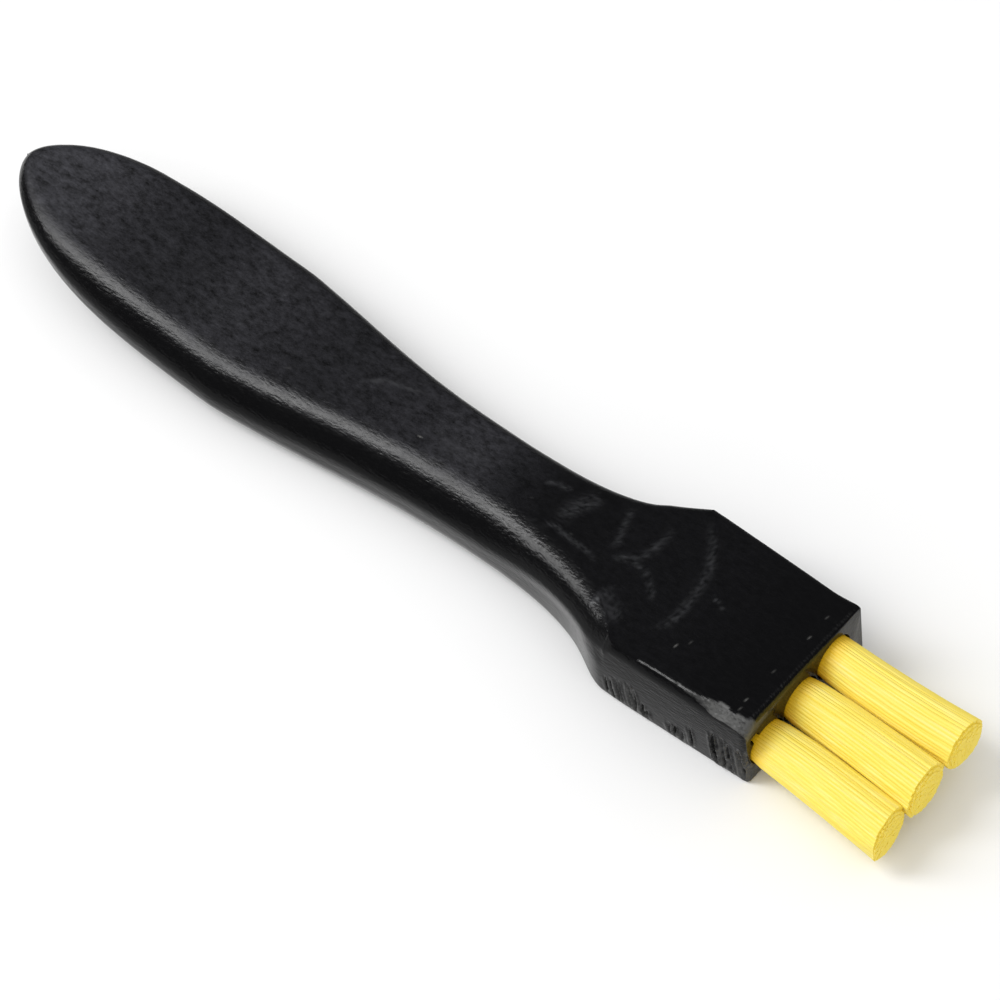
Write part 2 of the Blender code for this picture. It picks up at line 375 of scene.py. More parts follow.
def read_points(obj):
    points = np.empty(len(obj.data.vertices) * 3)
    obj.data.vertices.foreach_get("co", points)
    return points.reshape(-1, 3)


def write_points(obj, points):
    obj.data.vertices.foreach_set("co", points.astype(np.float32).ravel())
    obj.data.update()


def arc_table(arc):
    """Radius, first angle and last angle of an arc at each ring."""
    keys = ("radius", "first", "last")
    columns = [[smooth_through(arc[key], place) for place in ring_places] for key in keys]
    radius, first, last = np.array(columns)
    return radius, np.radians(first / mm), np.radians(last / mm)


def section_curve(swell):
    """How far across and down a section has turned by each angle, as functions of the angle."""
    fine = np.radians(np.linspace(0, 90, 361))
    weight = np.interp(np.degrees(fine), *np.array(swell).T)
    step = fine[1] / 2
    curves = []
    for part in (weight * np.cos(fine), weight * np.sin(fine)):
        curves.append(np.concatenate([[0], np.cumsum((part[1:] + part[:-1]) * step)]))
    across, down = curves
    return (lambda angle: np.interp(angle, fine, across)), (lambda angle: np.interp(angle, fine, down))


def stretch_table(side):
    """How much further an arc reaches across where the outline runs aslant."""
    step = 0.05 * mm
    widths = [[half_width(max(place + s, 0.0), side) for place in ring_places] for s in (-step, step)]
    return np.sqrt(1 + ((np.array(widths[1]) - widths[0]) / (2 * step)) ** 2)


ring_table = np.array([ring_lines(place) for place in ring_places]).T

# %% [markdown]
# Half of each arc's steps lie on the flat side and half on the wall, so the edge itself stays in
# the middle of its arc. Last, the near wall leans out to its foot, where the flare opens earlier.

# %% Move the points onto the arcs
shape = read_points(handle)
ring = np.abs(shape[:, 0, None] - handle_low.x - np.array(ring_places)).argmin(1)
near, far, low, high, foot = ring_table[:, ring]
middle = (near + far) / 2
across = (shape[:, 1] - near) / (far - near)
up = (shape[:, 2] - low) / (high - low)
shape_place = np.array(ring_places)[ring]
shape_side = np.where(up > 1 - 1e-4, TOP, np.where(up < 1e-4, UNDER, np.where(across < 0.5, NEAR, FAR)))
wall_ends = {}
for sign, wall in ((-1, NEAR), (1, FAR)):
    edge = near if sign < 0 else far
    stretch = stretch_table(sign)[ring]
    from_edge = across if sign < 0 else 1 - across
    for level, flat, arc in ((1, TOP, NEAR_ARC if sign < 0 else FAR_ARC), (-1, UNDER, UNDER_ARC)):
        radius, first, last = (column[ring] for column in arc_table(arc))
        turned_across, turned_down = section_curve(NEAR_SWELL if arc is NEAR_ARC else ROUND)
        radius = np.minimum(radius, MOST_OF_HEIGHT[level] * (high - low))
        reach = np.minimum(radius * stretch, 0.98 * np.abs(middle - edge))
        line = high if level > 0 else low
        from_line = 1 - up if level > 0 else up
        steps = {flat: from_edge * CUTS[flat], wall: from_line * CUTS[wall]}
        wall_ends[wall, level] = line - level * radius * (turned_down(last) - turned_down(first))
        for part, turn in ((flat, -1), (wall, 1)):
            here = (shape_side == part) & (from_edge <= 0.5) & (from_line <= 0.5)
            share = np.minimum(steps[part] / ARC_CUTS, 1)
            angle = (first + last) / 2 + turn * (last - first) / 2 * share
            beyond = np.clip((steps[part] - ARC_CUTS) / (CUTS[part] / 2 - ARC_CUTS), 0, 1)
            y = edge - sign * reach * (turned_across(last) - turned_across(angle))
            z = line - level * radius * (turned_down(angle) - turned_down(first))
            if part == flat:
                y = y * (1 - beyond) + middle * beyond
            shape[here, 1], shape[here, 2] = y[here], z[here]
for wall in (NEAR, FAR):
    here = shape_side == wall
    half = np.clip((np.abs(up - 0.5) * CUTS[wall]) / (CUTS[wall] / 2 - ARC_CUTS), 0, 1)
    ends = np.where(up > 0.5, wall_ends[wall, 1], wall_ends[wall, -1])
    centre = (wall_ends[wall, 1] + wall_ends[wall, -1]) / 2
    plain = here & (half < 1)
    shape[plain, 2] = (centre * (1 - half) + ends * half)[plain]
below = np.clip((high - shape[:, 2]) / FOOT_BLEND, 0, 1)
toward_foot = (foot - near) * below * below * (3 - 2 * below)
shape[:, 1] += toward_foot * np.clip((middle - shape[:, 1]) / (middle - near), 0, 1)

# %% [markdown]
# At the round end the sections alone would leave a keel, because the outline there runs across the
# handle. The height of a point follows its true distance from the outline instead, where that
# drops it further than its own section does, so that the rounding runs evenly round the tip.

# %% Round the tip
TIP_REACH = 28.0 * mm
TIP_FADE = 6.0 * mm

turns = np.radians(np.linspace(90, 0, 181))
outlines = []
for side in (0, 1):
    places = TIP_REACH * 1.3 * np.linspace(0, 1, 700) ** 2
    outlines.append(np.array([(p, ring_lines(p)[side]) for p in places]))
for level, arcs, line in ((1, (NEAR_ARC, FAR_ARC), high), (-1, (UNDER_ARC, UNDER_ARC), low)):
    most = MOST_OF_HEIGHT[level] * (high - low)
    here = (shape_place < TIP_REACH) & ((shape_side == TOP) == (level > 0))
    for wall in (NEAR, FAR):
        wall_part = (shape_side == wall) & (np.sign(up - 0.5) == level)
        here |= wall_part & (shape_place < TIP_REACH) & (np.abs(line - shape[:, 2]) < 0.999 * most)
    tip = np.flatnonzero(here)
    drop = np.zeros(len(tip))
    for outline, arc in zip(outlines, arcs):
        turned_across, turned_down = section_curve(NEAR_SWELL if arc is NEAR_ARC else ROUND)
        radius = np.minimum(arc_table(arc)[0][ring], most)[tip]
        spots = np.column_stack([shape_place, shape[:, 1]])[tip]
        away = np.array([np.hypot(*(outline - spot).T).min() for spot in spots]) / radius
        inward = turned_across(turns[0]) - turned_across(turns)
        drop = np.maximum(drop, radius * np.interp(away, inward, turned_down(turns)))
    drop = np.maximum(drop, level * (line[tip] - shape[tip, 2]))
    fade = np.clip((TIP_REACH - shape_place[tip]) / TIP_FADE, 0, 1)
    shape[tip, 2] += fade * (line[tip] - level * drop - shape[tip, 2])

# %% [markdown]
# The front edge is rounded where hands and table have worn it, and less so towards the far side,
# where the corner is still sharp. There the points get most of their height back.

# %% Keep the far front corner crisp
CRISP = 0.7

drawn_in = np.array([front_inset(place) for place in ring_places])[ring]
toward_far = np.clip((shape[:, 1] - middle) / ((far - near) / 2), 0, 1)
shape[:, 2] += CRISP * drawn_in * toward_far**2 * np.clip(shape[:, 2] / high, 0, 1)
write_points(handle, shape)


# %% [markdown]
# A moulding is never quite true. A slow waviness, less than a tenth of a millimetre, and a finer
# ripple break the long reflections on the shoulders. Both fade out at the foot and the end face.

# %% Waviness
WAVE_LENGTH = Vector((11.0, 5.0, 5.0)) * mm
WAVE_HEIGHT = 0.06 * mm
RIPPLE_LENGTH = Vector((3.2, 1.5, 1.5)) * mm
RIPPLE_HEIGHT = 0.012 * mm


def noise_at(points, length, seed):
    shift = Vector((seed * 17.3, seed * 5.1, seed * 9.7))
    return np.array([
        noise.noise(Vector((p[0] / length.x, p[1] / length.y, p[2] / length.z)) + shift) for p in points
    ])


def vertex_normals(obj):
    normals = np.empty(len(obj.data.vertices) * 3)
    obj.data.vertices.foreach_get("normal", normals)
    return normals.reshape(-1, 3)


normals = vertex_normals(handle)
if normals[shape_side == TOP][:, 2].mean() < 0:
    normals = -normals
waves = WAVE_HEIGHT * noise_at(shape, WAVE_LENGTH, 1) + RIPPLE_HEIGHT * noise_at(shape, RIPPLE_LENGTH, 2)
calm = np.clip((handle_length - shape_place) / (2 * mm), 0, 1) * np.clip(shape[:, 2] / mm, 0, 1)
shape = shape + normals * (waves * calm)[:, None]

# %% [markdown]
# Where the plastic ran round the pins that made the holes, it left flow marks: low curved ridges on
# top of the neck and head. They are drawn as curves across the top, in millimetres from the end of
# the grip and from the middle. Each has a width, a height and a paleness. The points beside it are
# lifted, and marked more or less pale in patches. Specks of dust are marked too, but not lifted.

# %% Flow marks
FLOW_MARKS = [
    (
        [(89.8, -3.0), (91.7, -2.4), (93.5, -1.6), (94.9, -2.0), (97.1, -2.2), (99.4, -2.4), (101.3, -3.2)],
        0.38, 0.035, 0.8,
    ),
    ([(93.2, -1.2), (93.7, 1.8), (94.7, 3.4), (95.7, 5.0)], 1.1, 0.03, 0.9),
    ([(99.6, 5.8), (100.2, 4.0), (101.2, 1.2), (101.5, -0.4)], 0.42, 0.03, 0.8),
    ([(102.0, -1.4), (103.6, -0.5), (105.0, 0.6), (105.6, 3.0), (105.5, 6.8)], 0.5, 0.035, 0.9),
    ([(102.4, -0.9), (104.8, -0.3), (107.0, -0.8), (109.0, -2.2), (110.2, -3.4)], 0.4, 0.03, 0.8),
    (
        [
            (108.2, 9.7), (110.8, 7.2), (112.4, 4.6), (113.2, 2.3), (113.7, -1.0), (113.6, -4.4),
            (112.0, -6.4),
        ],
        0.6, 0.04, 0.8,
    ),
    ([(110.4, -5.4), (110.9, -4.3), (111.8, -4.2), (112.7, -3.4), (113.3, -1.9)], 0.32, -0.05, 0.0),
    ([(103.8, -5.6), (106.0, -6.6), (108.6, -8.6)], 1.2, 0.02, 0.7),
    ([(87.9, 2.5), (89.5, 3.3), (90.8, 3.4), (91.9, 3.8)], 0.3, 0.02, 1.0),
    ([(70.0, 1.0), (76.0, 0.2), (82.0, 1.0)], 1.2, 0.01, 0.4),
    ([(59.0, 0.6), (61.8, 2.8), (64.1, 3.4), (67.2, 4.3)], 0.32, 0.01, 1.2),
    ([(115.2, 1.7), (116.6, 1.2), (117.8, 0.9)], 0.14, 0.01, 1.2),
    ([(104.2, -8.0), (104.8, -6.5)], 0.28, 0.03, 3.0),
]
DUST = [
    (129.0, 7.7), (127.9, 7.3), (128.0, 3.9), (127.6, -2.3), (127.5, -7.2), (127.7, -8.6), (88.5, 0.0),
    (95.8, -1.5), (71.0, -1.1), (116.3, -6.4), (117.4, -5.1), (50.6, -3.0),
]
DUST_RADIUS = 0.10
WOBBLE = 0.22
MARKS_FROM = 45 * mm
TOP_SKIN = 2.5 * mm


def curve_through(stations, steps=14):
    """Points of a smooth curve through a few stations (Catmull-Rom)."""
    ends = [2 * np.array(stations[0]) - stations[1], 2 * np.array(stations[-1]) - stations[-2]]
    control = [ends[0], *map(np.array, stations), ends[1]]
    points = []
    for a, b, c, d in zip(control, control[1:], control[2:], control[3:]):
        for u in np.linspace(0, 1, steps, endpoint=False):
            bend = 2 * a - 5 * b + 4 * c - d
            twist = 3 * b - a - 3 * c + d
            points.append(0.5 * (2 * b + u * (c - a) + u * u * bend + u**3 * twist))
    return np.array([*points, control[-2]])


def distance_to_line(spots, line):
    """Least distance from each spot to a polyline, and how far along it that is, from 0 to 1."""
    best, along = np.full(len(spots), 1e9), np.zeros(len(spots))
    for i, (a, b) in enumerate(zip(line, line[1:])):
        u = np.clip(((spots - a) @ (b - a)) / max((b - a) @ (b - a), 1e-12), 0, 1)
        away = np.hypot(*(spots - a - u[:, None] * (b - a)).T)
        nearer = away < best
        best[nearer], along[nearer] = away[nearer], (i + u[nearer]) / (len(line) - 1)
    return best, along


depth_below = ring_table[3][ring] - shape[:, 2]
on_top = np.flatnonzero((depth_below < TOP_SKIN) & (shape_place > MARKS_FROM) & (shape_side != FAR))
spots = np.column_stack([shape_place[on_top], shape[on_top, 1]]) / mm
flow = np.zeros(len(shape))
dust = np.zeros(len(shape))
lift = np.zeros(len(on_top))
ragged = noise_at(shape[on_top], Vector((0.7, 0.7, 0.7)) * mm, 11)
patchy = noise_at(shape[on_top], Vector((0.4, 0.3, 0.3)) * mm, 12)
for stations, width, height, strength in FLOW_MARKS:
    away, along = distance_to_line(spots, curve_through(stations))
    away = away + WOBBLE * min(width, 1.0) * ragged
    fade = np.clip(5 * along, 0, 1) * np.clip(5 * (1 - along), 0, 1)
    ridge = np.exp(-((away / width) ** 2)) * fade
    lift += ridge * height * mm
    flow[on_top] = np.maximum(flow[on_top], strength * ridge * np.clip(0.8 + 1.8 * patchy, 0, 2))
for speck in DUST:
    near_speck = np.hypot(*(spots - speck).T) / DUST_RADIUS
    dust[on_top] = np.maximum(dust[on_top], np.exp(-(near_speck**2)))
shape[on_top, 2] += lift

# %% [markdown]
# The flat top has the dull, slightly pitted skin of a plain mould face, and handling has greyed it
# most on the grip. The shoulders and sides are polished and stay black. How hazy each point is
# goes into an attribute for the material: a table along the handle, faded out over the shoulders.

# %% Haze of the top
HAZE = [
    (0, 1.0), (6, 1.0), (14, 0.82), (22, 0.5), (30, 0.42), (38, 0.62), (46, 0.54), (54, 0.38), (62, 0.44),
    (70, 0.5), (78, 0.66), (86, 0.2), (94, 0.04), (102, 0.08), (114, 0.07), (126, 0.02), (130, 0.02),
]

level_normal = vertex_normals(handle)[:, 2]
level_normal = level_normal * np.sign(level_normal[shape_side == TOP].mean())
haze = np.array([smooth_through(HAZE, place) for place in ring_places])[ring] / mm
haze *= np.clip((level_normal - 0.80) / 0.16, 0, 1)

# %% [markdown]
# The near side of the head has been scraped: short gouges stand upright on it in four groups.
# Noise in a material could paint them, but they are moved into the mesh, because they catch the
# light as shapes do. Each gouge is a groove with low, paler lips pushed up beside it.

# %% Scrapes on the near side
SCRAPE_GROUPS = [
    ((108.8, 113.8), 9, (0.8, 6.4)),
    ((114.4, 117.0), 4, (0.7, 3.0)),
    ((118.4, 122.0), 6, (0.6, 4.4)),
    ((124.8, 130.2), 13, (0.3, 7.0)),
]
SCRAPE_DEPTH = 0.6 * mm
SCRAPE_WIDTH = 0.17
SCRAPES_FROM = 106 * mm
CHIPPED_FROM = 124.5
CHIP_HEIGHT = 0.10 * mm

rng = random.Random(4)
wear = np.zeros(len(shape))
near_wall = np.flatnonzero((shape_side == NEAR) & (shape_place > SCRAPES_FROM))
spots = np.column_stack([shape_place[near_wall], shape[near_wall, 2]]) / mm
dent = np.zeros(len(near_wall))
for (start, end), count, (lowest, highest) in SCRAPE_GROUPS:
    for _ in range(count):
        foot_place = np.array([rng.uniform(start, end), rng.uniform(lowest, lowest + 1.2)])
        tall = rng.uniform(0.3, 1.0) * (highest - foot_place[1])
        head_place = foot_place + np.array([rng.uniform(-0.16, -0.02) * tall, tall])
        bend = np.array([rng.uniform(-0.12, 0.12), 0])
        line = curve_through([foot_place, (foot_place + head_place) / 2 + bend, head_place], 4)
        away, along = distance_to_line(spots, line)
        width = SCRAPE_WIDTH * rng.uniform(0.7, 1.5)
        fade = np.sqrt(np.clip(2.5 * (1 - along), 0, 1))
        groove = np.exp(-((away / width) ** 2)) * fade
        lip = np.exp(-(((away - 2.0 * width) / width) ** 2)) * fade
        dent += SCRAPE_DEPTH * rng.uniform(0.5, 1.0) * (groove - 0.3 * lip)
        wear[near_wall] = np.maximum(wear[near_wall], 0.75 * lip * rng.uniform(0.4, 1.0))
chips = noise_at(shape[near_wall], Vector((0.5, 5.0, 1.4)) * mm, 8)
chipped = np.clip((spots[:, 0] - CHIPPED_FROM) / 4, 0, 1) * np.clip((8.5 - spots[:, 1]) / 3, 0, 1)
dent += CHIP_HEIGHT * chips * chipped
dent *= np.clip(spots[:, 1] / 1.6, 0.25, 1)
shape[near_wall, 1] += dent
print("points moved by scrapes", int((np.abs(dent) > 0.01 * mm).sum()))

# %% [markdown]
# The head's near top edge is crushed into a rough facet, a hair wide at first and broad at the
# front corner. What stands above a leaning plane is pushed down to it, unevenly, and marked worn.

# %% Crushed edge over the near side
CRUSHED_DEPTH = [(0, 0), (114, 0), (118, 0.01), (121.5, 0.04), (123.5, 0.16), (126.5, 0.46), (130, 0.64)]
FACET_LEAN = math.radians(55)
CRUSHED_FROM = 110 * mm

on_near_edge = (shape_side != FAR) & (shape_side != UNDER)
edge_zone = np.flatnonzero((shape_place > CRUSHED_FROM) & on_near_edge)
edge_y, edge_z = ring_table[0][ring][edge_zone], ring_table[3][ring][edge_zone]
deep = np.array([smooth_through(CRUSHED_DEPTH, place) for place in shape_place[edge_zone]])
first = arc_table(NEAR_ARC)[1][ring][edge_zone]
radius = arc_table(NEAR_ARC)[0][ring][edge_zone]
crease_y = edge_y + radius * (1 - np.sin(first))
inward, downward = shape[edge_zone, 1] - crease_y, edge_z - shape[edge_zone, 2]
ragged = 1 + 0.5 * noise_at(shape[edge_zone], Vector((1.3, 9.0, 9.0)) * mm, 5)
over = deep * ragged - (math.cos(FACET_LEAN) * inward + math.sin(FACET_LEAN) * downward)
rough = 1 + 0.35 * noise_at(shape[edge_zone], Vector((0.45, 0.3, 0.3)) * mm, 6)
push = np.maximum(over, 0) * rough * (deep > 0)
shape[edge_zone, 1] += math.cos(FACET_LEAN) * push
shape[edge_zone, 2] -= math.sin(FACET_LEAN) * push
worn_share = np.clip(push / (0.04 * mm), 0, 1) * np.clip(deep / (0.35 * mm), 0.3, 1)
worn_share *= np.clip(deep / (0.05 * mm), 0, 1)
wear[edge_zone] = np.maximum(wear[edge_zone], worn_share)
print("points moved by the crushed edge", int((push > 0).sum()))

# %% [markdown]
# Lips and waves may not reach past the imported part, which gives the size that other parts rely on.

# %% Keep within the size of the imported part
shape[:, 1] = np.clip(shape[:, 1], cad_low.y, cad_high.y)
shape[:, 2] = np.clip(shape[:, 2], 0.0, head_thickness)
shape[:, 0] = np.clip(shape[:, 0], handle_low.x, handle_high.x)
write_points(handle, shape)

# %% [markdown]
# The two ends are closed again, each over the open edges at its end. Wear, flow, dust and haze are
# kept on the mesh as attributes, which the plastic's material reads.

# %% Close the ends
bm = edit(handle, "EDGE")
for end in (-1, 1):
    bpy.ops.mesh.select_all(action="DESELECT")
    select_where(bm.edges, lambda edge: edge.is_boundary and edge.verts[0].co.x * end > 0)
    bpy.ops.mesh.edge_face_add()
bpy.ops.mesh.select_all(action="SELECT")
bpy.ops.mesh.normals_make_consistent(inside=False)
clear_selection()
for name, values in (("wear", wear), ("flow", flow), ("dust", dust), ("haze", haze)):
    attribute = handle.data.attributes.new(name, "FLOAT", "POINT")
    attribute.data.foreach_set("value", values.astype(np.float32))

# %% [markdown]
# The three blind holes stand in a row across the end face, and the far one sits a little higher.
# Each cutter is a cylinder with a wider mouth, where the pin that formed the hole has worn the
# edge, and a small one takes a chip out beside the near hole. Each has its own Boolean modifier,
# because cutters that overlap in one object leave a wall standing between them.

# %% Blind holes
HOLE_RADIUS = 3.0 * mm
HOLE_DEPTH = 9.0 * mm
MOUTH_EXTRA = 0.12 * mm
MOUTH_DEPTH = 0.35 * mm
CHIP_RADIUS = 0.85 * mm
CHIP_DEPTH = 2.2 * mm
CHIP_PLACE = (-2.0 * mm, 3.0 * mm)
CUT_PAST = 1.0 * mm
HOLE_SIDES = 72
CHIP_SIDES = 11
CREASE = math.radians(42)
TUFTS = ("near", "middle", "far")

anchor_middle = {name: sum(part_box(f"anchor_{name}"), Vector()) / 2 for name in TUFTS}
end_face = handle_high.x
cutters = []
for name in TUFTS:
    clear_selection()
    middle = anchor_middle[name]
    bpy.ops.mesh.primitive_cylinder_add(
        vertices=HOLE_SIDES,
        radius=HOLE_RADIUS,
        depth=HOLE_DEPTH + CUT_PAST,
        location=(end_face + (CUT_PAST - HOLE_DEPTH) / 2, middle.y, middle.z),
        rotation=(0, math.pi / 2, 0),
    )
    cutter = bpy.context.object
    bpy.ops.object.transform_apply(location=True, rotation=True, scale=True)
    bm = edit(cutter, "EDGE")
    bpy.ops.mesh.select_all(action="SELECT")
    bpy.ops.mesh.bisect(plane_co=(end_face - MOUTH_DEPTH, 0, 0), plane_no=(1, 0, 0))
    bm = edit(cutter)
    select_where(bm.verts, lambda vert: vert.co.x > end_face)
    grow = 1 + MOUTH_EXTRA / HOLE_RADIUS * (CUT_PAST + MOUTH_DEPTH) / MOUTH_DEPTH
    bpy.ops.transform.resize(value=(1, grow, grow), center_override=(end_face, middle.y, middle.z))
    clear_selection()
    cutters.append(cutter)
clear_selection()
chip_y = anchor_middle["near"].y + CHIP_PLACE[0]
chip_z = anchor_middle["near"].z + CHIP_PLACE[1]
bpy.ops.mesh.primitive_cylinder_add(
    vertices=CHIP_SIDES,
    radius=CHIP_RADIUS,
    depth=CHIP_DEPTH + CUT_PAST,
    location=(end_face + (CUT_PAST - CHIP_DEPTH) / 2, chip_y, chip_z),
    rotation=(0, math.pi / 2, 0),
)
bpy.ops.object.transform_apply(location=True, rotation=True, scale=True)
cutters.append(bpy.context.object)
clear_selection()
for cutter in cutters:
    drill = handle.modifiers.new("hole", "BOOLEAN")
    drill.operation = "DIFFERENCE"
    drill.solver = "EXACT"
    drill.object = cutter
apply_modifiers(handle)
for cutter in cutters:
    bpy.data.objects.remove(cutter)
clear_selection()
handle.select_set(True)
bpy.context.view_layer.objects.active = handle
bpy.ops.object.shade_smooth_by_angle(angle=CREASE)
print("moulding", len(handle.data.polygons), "faces")

# %% [markdown]
# A filament is modelled once: a thin eight-sided rod, cut across so that it can bend, with its cut
# end rounded a little by the trimming blade. The cut face carries an attribute, because nylon looks
# a deeper yellow where it is cut.

# %% One filament
FILAMENT = 0.72 * mm
ROOT_DEPTH = 3.0 * mm
BENDS = (0.13, 0.155, 0.2, 0.4, 0.6, 0.8)

clear_selection()
bpy.ops.mesh.primitive_cylinder_add(
    vertices=8, radius=FILAMENT / 2, depth=1.0, rotation=(0, math.pi / 2, 0), location=(0.5, 0, 0)
)
filament = bpy.context.object
filament.name = "one_filament"
bpy.ops.object.transform_apply(location=True, rotation=True, scale=True)
bm = edit(filament, "FACE")
select_where(bm.faces, lambda face: face.normal.x > 0.9)
bpy.ops.mesh.inset(thickness=0.0, depth=0.0)
bpy.ops.transform.resize(value=(1, 0.8, 0.8), center_override=(1, 0, 0))
for bend in BENDS:
    bm = edit(filament)
    bpy.ops.mesh.select_all(action="SELECT")
    bpy.ops.mesh.bisect(plane_co=(bend, 0, 0), plane_no=(1, 0, 0))
clear_selection()
cut = filament.data.attributes.new("cut", "FLOAT", "FACE")
cut.data.foreach_set("value", [float(face.normal.x > 0.5) for face in filament.data.polygons])
one_filament = read_points(filament)
print("one filament has", len(filament.data.polygons), "faces")

# %% [markdown]
# A tuft is a bundle of such rods in rings, packed tight in the hole's mouth, swelling as it leaves
# it, and a little wider at the cut end. Each copy is stretched to its own length, bent from its
# root to its tip and given a small error, and all the copies are joined into one piece. The three
# tufts lean and bow apart by their own amounts, as the photo shows.

# %% Three tufts
RING_STEP = 0.385 * mm
TUFT_RINGS = 7
ROOT_ERROR = 0.02 * mm
TIP_ERROR = 0.04 * mm
TRIM_ERROR = 0.10 * mm
TRIM_CORNER = 0.4 * mm
FILAMENT_CREASE = math.radians(50)
EDGE_GAP = 0.02 * mm
BOW_ERROR = 0.03 * mm
BOW = {"near": 0.0, "middle": 0.0, "far": -0.34}
TIGHT = 0.93
SWELL = {"near": 0.10, "middle": 0.10, "far": 0.03}
SWELL_WITHIN = 1.0 * mm
TIP_SPREAD = {"near": 1.19, "middle": 1.22, "far": 1.13}
TIP_SHIFT = {"near": (-1.45, 0.3), "middle": (-1.1, 0.4), "far": (-0.3, 0.25)}
TRIMMED = {"near": 0.65, "middle": 0.35, "far": 0.05}
CUT_SLOPE = {"near": -0.12, "middle": -0.05, "far": 0.0}


def bundle_places(rings):
    places = [(0.0, 0.0)]
    for ring_number in range(1, rings + 1):
        count = round(2 * math.pi * ring_number * 0.985)
        for i in range(count):
            angle = ring_number * 1.7 + 2 * math.pi * i / count
            reach = ring_number * RING_STEP
            places.append((reach * math.cos(angle), reach * math.sin(angle)))
    return places


def make_tuft(name, seed):
    rng = random.Random(seed)
    middle = anchor_middle[name]
    centre = np.array([middle.y, middle.z])
    copies = []
    for place in bundle_places(TUFT_RINGS):
        own = np.array(place) + [rng.gauss(0, ROOT_ERROR), rng.gauss(0, ROOT_ERROR)]
        astray = np.array([rng.gauss(0, TIP_ERROR), rng.gauss(0, TIP_ERROR)])
        bow = np.array([rng.gauss(BOW[name] * mm, BOW_ERROR), rng.gauss(0, BOW_ERROR)])
        outermost = math.hypot(*place) / (TUFT_RINGS * RING_STEP)
        trim = TRIMMED[name] * mm - CUT_SLOPE[name] * place[0] + TRIM_CORNER * outermost**6
        trim += rng.uniform(0, TRIM_ERROR)
        length = min(ROOT_DEPTH + free_length - trim, ROOT_DEPTH + free_length)
        x = end_face - ROOT_DEPTH + one_filament[:, 0] * length
        free = np.clip((x - end_face) / free_length, 0, 1)
        bent = free * free * (1.5 - 0.5 * free)
        swell = SWELL[name] * (1 - np.exp(-free * free_length / SWELL_WITHIN))
        spread = TIGHT + swell + (TIP_SPREAD[name] - TIGHT - SWELL[name]) * free
        across = centre + own * spread[:, None]
        across += (np.array(TIP_SHIFT[name]) * mm + astray) * bent[:, None]
        across += bow * (4 * free * (1 - free))[:, None] + one_filament[:, 1:]
        across[:, 0] = np.maximum(across[:, 0], cad_low.y + EDGE_GAP)
        copy = filament.copy()
        copy.data = filament.data.copy()
        bpy.context.scene.collection.objects.link(copy)
        write_points(copy, np.column_stack([x, across]))
        copies.append(copy)
    clear_selection()
    for copy in copies:
        copy.select_set(True)
    bpy.context.view_layer.objects.active = copies[0]
    bpy.ops.object.join()
    tuft = bpy.context.object
    tuft.name = tuft.data.name = f"filament_tuft_{name}"
    bpy.ops.object.shade_smooth_by_angle(angle=FILAMENT_CREASE)
    print(tuft.name, len(copies), "filaments,", len(tuft.data.polygons), "faces")
    return tuft


tufts = {name: make_tuft(name, seed) for seed, name in enumerate(TUFTS, 11)}
bpy.data.objects.remove(filament)


# %% [markdown]
# Materials. One helper starts a material with its shader, and another adds a node with its
# settings and links. The rest make the nodes that come again and again, so that each finish reads
# as a short list.

# %% Node helpers
def new_material(name, **settings):
    material = bpy.data.materials.new(name)
    material.use_nodes = True
    shader = material.node_tree.nodes["Principled BSDF"]
    for socket, value in settings.items():
        shader.inputs[socket.replace("_", " ")].default_value = value
    return material, material.node_tree, shader


def add_node(tree, kind, inputs=None, **settings):
    node = tree.nodes.new(kind)
    for name, value in settings.items():
        setattr(node, name, value)
    for socket, value in (inputs or {}).items():
        if isinstance(value, bpy.types.NodeSocket):
            tree.links.new(value, node.inputs[socket])
        else:
            node.inputs[socket].default_value = value
    return node


def ramp(tree, value, stops):
    """A colour ramp through (position, grey or colour) stops."""
    node = add_node(tree, "ShaderNodeValToRGB", {"Fac": value})
    elements = node.color_ramp.elements
    while len(elements) < len(stops):
        elements.new(0.5)
    for element, (position, colour) in zip(elements, stops):
        element.position = position
        element.color = (*colour, 1) if isinstance(colour, tuple) else (colour, colour, colour, 1)
    return node.outputs["Color"]


def mix_colours(tree, share, first, second):
    """Mixes two colours, each a socket or three numbers, by a share."""
    inputs = {"Fac": share}
    for name, colour in (("Color1", first), ("Color2", second)):
        inputs[name] = (*colour, 1) if isinstance(colour, tuple) else colour
    return add_node(tree, "ShaderNodeMixRGB", inputs).outputs["Color"]


def map_range(tree, value, source, target, clamp=True):
    """Maps a value from one range, a pair, to another."""
    inputs = {"Value": value, "From Min": source[0], "From Max": source[1]}
    inputs |= {"To Min": target[0], "To Max": target[1]}
    return add_node(tree, "ShaderNodeMapRange", inputs, clamp=clamp).outputs["Result"]


def calculate(tree, operation, *values, clamp=False):
    """One step of arithmetic on sockets or numbers."""
    inputs = dict(enumerate(values))
    return add_node(tree, "ShaderNodeMath", inputs, operation=operation, use_clamp=clamp).outputs[0]


def sum_of(tree, *terms):
    """Adds up (socket, weight) terms."""
    total = None
    for socket, weight in terms:
        scaled = calculate(tree, "MULTIPLY", socket, weight)
        total = scaled if total is None else calculate(tree, "ADD", total, scaled)
    return total


def stretched_noise(tree, stretch, scale, detail, roughness):
    """Noise on the object's own coordinates, drawn out along some of its axes."""
    place = add_node(tree, "ShaderNodeTexCoord").outputs["Object"]
    mapped = add_node(tree, "ShaderNodeMapping", {"Vector": place, "Scale": stretch}).outputs["Vector"]
    inputs = {"Vector": mapped, "Scale": scale, "Detail": detail, "Roughness": roughness}
    return add_node(tree, "ShaderNodeTexNoise", inputs).outputs["Fac"]


def on_mesh(tree, name):
    """The value of one of the attributes kept on the mesh."""
    return add_node(tree, "ShaderNodeAttribute", attribute_name=name).outputs["Fac"]


